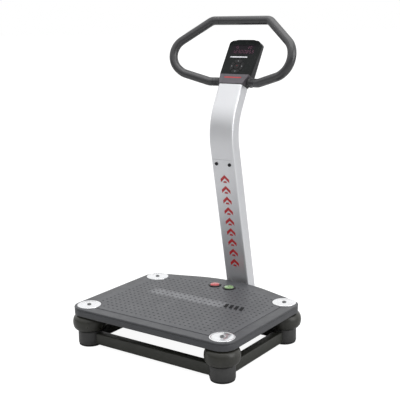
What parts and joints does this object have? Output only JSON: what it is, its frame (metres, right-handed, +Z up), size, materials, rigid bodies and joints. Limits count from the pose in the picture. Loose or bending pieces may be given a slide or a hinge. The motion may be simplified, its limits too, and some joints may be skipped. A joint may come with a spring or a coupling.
{
  "type": "vibration plate",
  "caption": "Standing vibration exercise plate on rubber springs over a steel base, with a leaning bent column, sloping console and wide looped handlebar.",
  "frame": {"origin": "on the floor, midway between the four corner posts", "axes": "+Z up, +Y towards the column at the back, +X to the right of a user facing the console"},
  "size_m": [0.776, 0.7682, 1.2748],
  "materials": {
    "black_frame": "satin powder coat",
    "spring_rubber": "semi-matte",
    "foot_rubber": "matte",
    "deck_steel": "satin powder coat",
    "deck_plastic": "fine texture",
    "mat_rubber": "dimpled",
    "disc_chrome": "polished",
    "bolt_steel": "plated",
    "dark_bolt": "black oxide",
    "silver_paint": "silver metallic paint",
    "bare_steel": "machined",
    "cast_case": "cast",
    "weight_iron": "cast",
    "dark_plastic": "fine texture",
    "grey_plastic": "smooth",
    "silver_plastic": "metallic",
    "window_plastic": "gloss",
    "key_plastic": "smooth",
    "board_green": "solder mask",
    "gasket_rubber": "matte",
    "grip_foam": "foam",
    "collar_plastic": "smooth",
    "red_button": "gloss",
    "green_button": "gloss",
    "socket_black": "moulded"
  },
  "bodies": {
    "stand": {"front_rail": "black_frame", "rear_rail": "black_frame", "left_rail": "black_frame", "right_rail": "black_frame", "front_left_post": "black_frame", "front_right_post": "black_frame", "rear_left_post": "black_frame", "rear_right_post": "black_frame", "floor_feet": "foot_rubber", "front_left_spring": "spring_rubber", "front_right_spring": "spring_rubber", "rear_left_spring": "spring_rubber", "rear_right_spring": "spring_rubber", "column_carrier": "black_frame", "carrier_feet": "foot_rubber", "flange_bolts": "bolt_steel", "lower_column": "silver_paint", "upper_column": "silver_paint", "column_sleeve": "bare_steel", "joint_bolts": "dark_bolt", "neck_gasket": "gasket_rubber", "power_inlet": "socket_black", "switch_frame": "socket_black", "drive_board": "board_green", "neck_cover": "grey_plastic", "console_face": "dark_plastic", "console_back": "dark_plastic", "console_screws": "dark_bolt", "display_window": "window_plastic", "trim_strip": "silver_plastic", "console_board": "board_green", "handlebar_tube": "bare_steel", "right_grip": "grip_foam", "left_grip": "grip_foam", "handlebar_collars": "collar_plastic", "top_grip": "grip_foam"},
    "deck": {"deck_frame": "deck_steel", "deck_cover": "deck_plastic", "deck_mat": "mat_rubber", "corner_discs": "disc_chrome", "disc_bolts": "dark_bolt", "button_bezels": "socket_black", "button_switches": "socket_black", "right_motor_case": "cast_case", "left_motor_case": "cast_case", "motor_covers": "cast_case", "motor_bearings": "bolt_steel", "motor_bolts": "bolt_steel"},
    "start_button": {"start_button": "green_button"},
    "stop_button": {"stop_button": "red_button"},
    "right_rotor": {"right_rotor": "bare_steel", "right_weights": "weight_iron"},
    "left_rotor": {"left_rotor": "bare_steel", "left_weights": "weight_iron"},
    "power_rocker": {"power_rocker": "socket_black"},
    "up_key": {"up_key": "key_plastic"},
    "right_key": {"right_key": "key_plastic"},
    "down_key": {"down_key": "key_plastic"},
    "left_key": {"left_key": "key_plastic"},
    "centre_key": {"centre_key": "key_plastic"}
  },
  "joints": [
    {"name": "deck_bounce", "type": "slide", "parent": "stand", "child": "deck", "axis": [0, 0, 1], "range_m": [-0.004, 0.002], "stiffness_N_per_m": 240000, "springref_m": 0.002, "deforming": ["front_left_spring", "front_right_spring", "rear_left_spring", "rear_right_spring"]},
    {"name": "start_press", "type": "slide", "parent": "deck", "child": "start_button", "axis": [0, 0, -1], "range_m": [0, 0.003], "stiffness_N_per_m": 800, "springref_m": -0.002},
    {"name": "stop_press", "type": "slide", "parent": "deck", "child": "stop_button", "axis": [0, 0, -1], "range_m": [0, 0.003], "stiffness_N_per_m": 800, "springref_m": -0.002},
    {"name": "right_rotor_spin", "type": "hinge", "parent": "deck", "child": "right_rotor", "pos_m": [0.095, 0.06, 0.098], "axis": [0, 1, 0], "continuous": true},
    {"name": "left_rotor_spin", "type": "hinge", "parent": "deck", "child": "left_rotor", "pos_m": [-0.095, 0.06, 0.098], "axis": [0, 1, 0], "continuous": true},
    {"name": "power_rock", "type": "hinge", "parent": "stand", "child": "power_rocker", "pos_m": [0, 0.4193, 0.169], "axis": [1, 0, 0], "range_deg": [-20, 0]},
    {"name": "up_key_press", "type": "slide", "parent": "stand", "child": "up_key", "axis": [0, 0.8205, -0.5717], "range_m": [0, 0.0008], "stiffness_N_per_m": 1500, "springref_m": -0.0005},
    {"name": "right_key_press", "type": "slide", "parent": "stand", "child": "right_key", "axis": [0, 0.8205, -0.5717], "range_m": [0, 0.0008], "stiffness_N_per_m": 1500, "springref_m": -0.0005},
    {"name": "down_key_press", "type": "slide", "parent": "stand", "child": "down_key", "axis": [0, 0.8205, -0.5717], "range_m": [0, 0.0008], "stiffness_N_per_m": 1500, "springref_m": -0.0005},
    {"name": "left_key_press", "type": "slide", "parent": "stand", "child": "left_key", "axis": [0, 0.8205, -0.5717], "range_m": [0, 0.0008], "stiffness_N_per_m": 1500, "springref_m": -0.0005},
    {"name": "centre_key_press", "type": "slide", "parent": "stand", "child": "centre_key", "axis": [0, 0.8205, -0.5717], "range_m": [0, 0.0008], "stiffness_N_per_m": 1500, "springref_m": -0.0005}
  ],
  "couplings": [
    {"joint": "left_rotor_spin", "follows": "right_rotor_spin", "ratio": -1}
  ]
}
